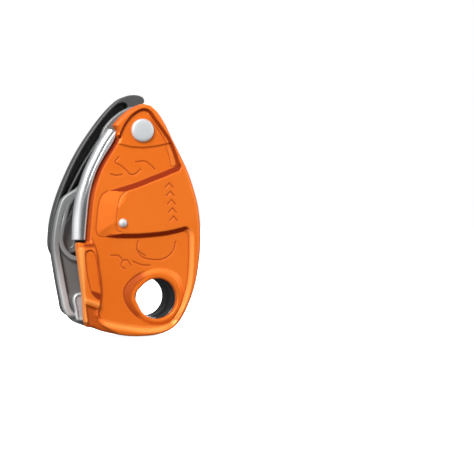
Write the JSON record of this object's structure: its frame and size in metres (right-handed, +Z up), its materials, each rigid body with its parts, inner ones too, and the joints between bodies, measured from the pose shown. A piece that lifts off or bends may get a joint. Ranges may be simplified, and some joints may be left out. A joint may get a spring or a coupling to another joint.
{
  "type": "belay device",
  "caption": "Assisted-braking belay device: swinging orange side plate, cam in a rope channel between two plates, and a folding release handle at the back.",
  "frame": {"origin": "on the axis of the attachment hole, half way between the two side plates", "axes": "+Z up along the body towards the main rivet, +Y from the swinging side plate towards the handle, +X to the right seen from the swinging side plate"},
  "size_m": [0.0631, 0.035, 0.1065],
  "materials": {
    "orange_anodised": "anodised satin",
    "stainless": "polished",
    "rivet_steel": "satin",
    "grey_aluminium": "bead blasted",
    "black_nylon": "glossy",
    "grey_nylon": "fine moulded texture",
    "cam_steel": "satin",
    "bronze": "sintered",
    "spring_steel": "drawn wire"
  },
  "bodies": {
    "frame": {"fixed_side_plate": "grey_aluminium", "rope_guard": "grey_aluminium", "attachment_liner": "black_nylon", "main_rivet": "rivet_steel", "pivot_sleeve": "cam_steel", "pivot_washer": "black_nylon", "rope_wear_plate": "stainless", "pinch_pad": "cam_steel", "cam_axle": "rivet_steel", "axle_clip": "spring_steel", "cam_stop_pin": "rivet_steel", "rear_cover": "grey_nylon", "cover_screws": "rivet_steel"},
    "side_plate": {"moving_side_plate": "orange_anodised", "friction_plate": "stainless", "plate_rivet": "rivet_steel"},
    "cam_body": {"cam": "cam_steel", "cam_bushing": "bronze", "drive_pin": "rivet_steel", "cam_spring": "spring_steel"},
    "hub": {"handle_hub": "cam_steel", "hub_cap": "grey_nylon", "slip_spring": "spring_steel", "fold_pin": "rivet_steel"},
    "lever": {"handle_lever": "grey_nylon"},
    "selector": {"selector_knob": "black_nylon", "selector_shaft": "rivet_steel", "selector_button_spring": "spring_steel"},
    "button": {"selector_button": "orange_anodised"}
  },
  "joints": [
    {"name": "side_plate_swing", "type": "hinge", "parent": "frame", "child": "side_plate", "pos_m": [-0.0067, 0, 0.0725], "axis": [0, 1, 0], "range_deg": [0, 110]},
    {"name": "cam_swing", "type": "hinge", "parent": "frame", "child": "cam_body", "pos_m": [-0.014, 0, 0.035], "axis": [0, 1, 0], "range_deg": [0, 30], "stiffness_Nm_per_rad": 0.05, "springref_deg": -34.38},
    {"name": "over_pull_slip", "type": "hinge", "parent": "cam_body", "child": "hub", "pos_m": [-0.014, 0, 0.035], "axis": [0, 1, 0], "range_deg": [-25, 0], "stiffness_Nm_per_rad": 0.3, "springref_deg": 17.19},
    {"name": "lever_unfold", "type": "hinge", "parent": "hub", "child": "lever", "pos_m": [-0.0345, 0.018, 0.024], "axis": [0, 1, 0], "range_deg": [-100, 0]},
    {"name": "selector_turn", "type": "hinge", "parent": "frame", "child": "selector", "pos_m": [0.0045, 0.015, 0.0255], "axis": [0, 1, 0], "range_deg": [0, 90]},
    {"name": "selector_press", "type": "slide", "parent": "selector", "child": "button", "axis": [0, -1, 0], "range_m": [0, 0.0012], "stiffness_N_per_m": 600, "springref_m": -0.0015, "deforming": ["selector_button_spring"]}
  ]
}
